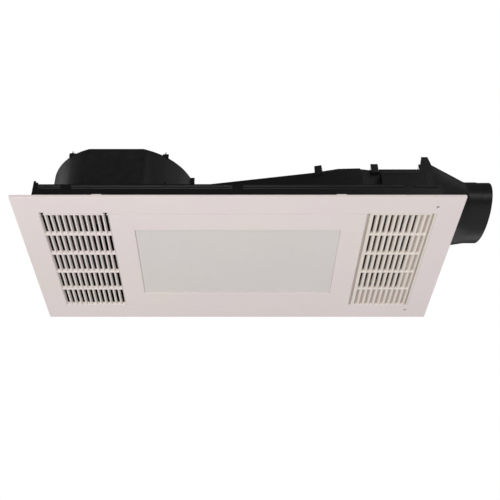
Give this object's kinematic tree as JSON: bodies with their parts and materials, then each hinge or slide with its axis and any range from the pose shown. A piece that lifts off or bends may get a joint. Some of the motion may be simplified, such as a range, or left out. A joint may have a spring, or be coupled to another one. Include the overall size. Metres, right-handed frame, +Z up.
{
  "type": "ceiling ventilating fan heater",
  "caption": "Flat white ceiling panel with slotted intake and outlet grilles round a light, under a black fan housing with a round duct spigot.",
  "frame": {"origin": "centre of the ceiling screw rectangle in the plane of the ceiling's underside", "axes": "+X along the panel towards the duct spigot, +Y across it, +Z up into the ceiling"},
  "size_m": [0.7172, 0.32, 0.1434],
  "materials": {
    "panel_white": "moulded, fine satin",
    "outlet_white": "moulded, fine satin, a little warmer",
    "opal": "opal, fine satin",
    "black_plastic": "moulded, fine grain",
    "fan_plastic": "moulded, smooth",
    "zinc_steel": "zinc plated",
    "galvanised": "galvanised sheet",
    "pan_white": "white reflector paint",
    "led_board": "white solder mask on metal core",
    "led_chip": "phosphor",
    "driver_case": "moulded",
    "motor_paint": "satin paint",
    "lamination": "stacked sheet",
    "rubber_bush": "matte",
    "heater_metal": "plain",
    "insulator": "glass-filled",
    "contact_metal": "tinned brass",
    "circuit_green": "solder mask"
  },
  "bodies": {
    "housing": {"panel_frame": "panel_white", "center_fascia": "panel_white", "intake_grille": "panel_white", "outlet_grille": "outlet_white", "light_diffuser": "opal", "body_tray": "black_plastic", "fan_casing": "black_plastic", "casing_lid": "black_plastic", "duct_adaptor": "black_plastic", "inlet_ring": "black_plastic", "terminal_box": "black_plastic", "box_cover": "black_plastic", "cable_gland": "black_plastic", "panel_screws": "zinc_steel", "light_screws": "zinc_steel", "lid_screws": "zinc_steel", "motor_screws": "zinc_steel", "adaptor_screws": "zinc_steel", "cover_screws": "zinc_steel", "flap_pin": "zinc_steel", "motor_bearings": "zinc_steel", "heater_box": "galvanised", "motor_bracket": "galvanised", "light_pan": "pan_white", "led_boards": "led_board", "led_chips": "led_chip", "led_driver": "driver_case", "motor_body": "motor_paint", "damper_motor": "motor_paint", "motor_stator": "lamination", "motor_bushes": "rubber_bush", "ptc_bars": "heater_metal", "heater_fins": "heater_metal", "heater_end_caps": "insulator", "thermal_cutout": "insulator", "damper_bushes": "insulator", "terminal_block": "insulator", "heater_terminals": "contact_metal", "control_board": "circuit_green"},
    "fan_rotor": {"impeller": "fan_plastic", "impeller_nut": "zinc_steel", "motor_shaft": "zinc_steel", "motor_rotor": "lamination"},
    "damper": {"damper_flap": "fan_plastic", "damper_shaft": "zinc_steel"},
    "backdraft": {"backdraft_flap": "fan_plastic"}
  },
  "joints": [
    {"name": "impeller_spin", "type": "hinge", "parent": "housing", "child": "fan_rotor", "pos_m": [-0.164, -0.018, 0.0865], "axis": [0, 0, 1], "continuous": true},
    {"name": "damper_swing", "type": "hinge", "parent": "housing", "child": "damper", "pos_m": [0.276, -0.0255, 0.047], "axis": [0, 1, 0], "range_deg": [0, 88]},
    {"name": "backdraft_swing", "type": "hinge", "parent": "housing", "child": "backdraft", "pos_m": [0.2953, -0.0255, 0.115], "axis": [0, -1, 0], "range_deg": [0, 65]}
  ]
}
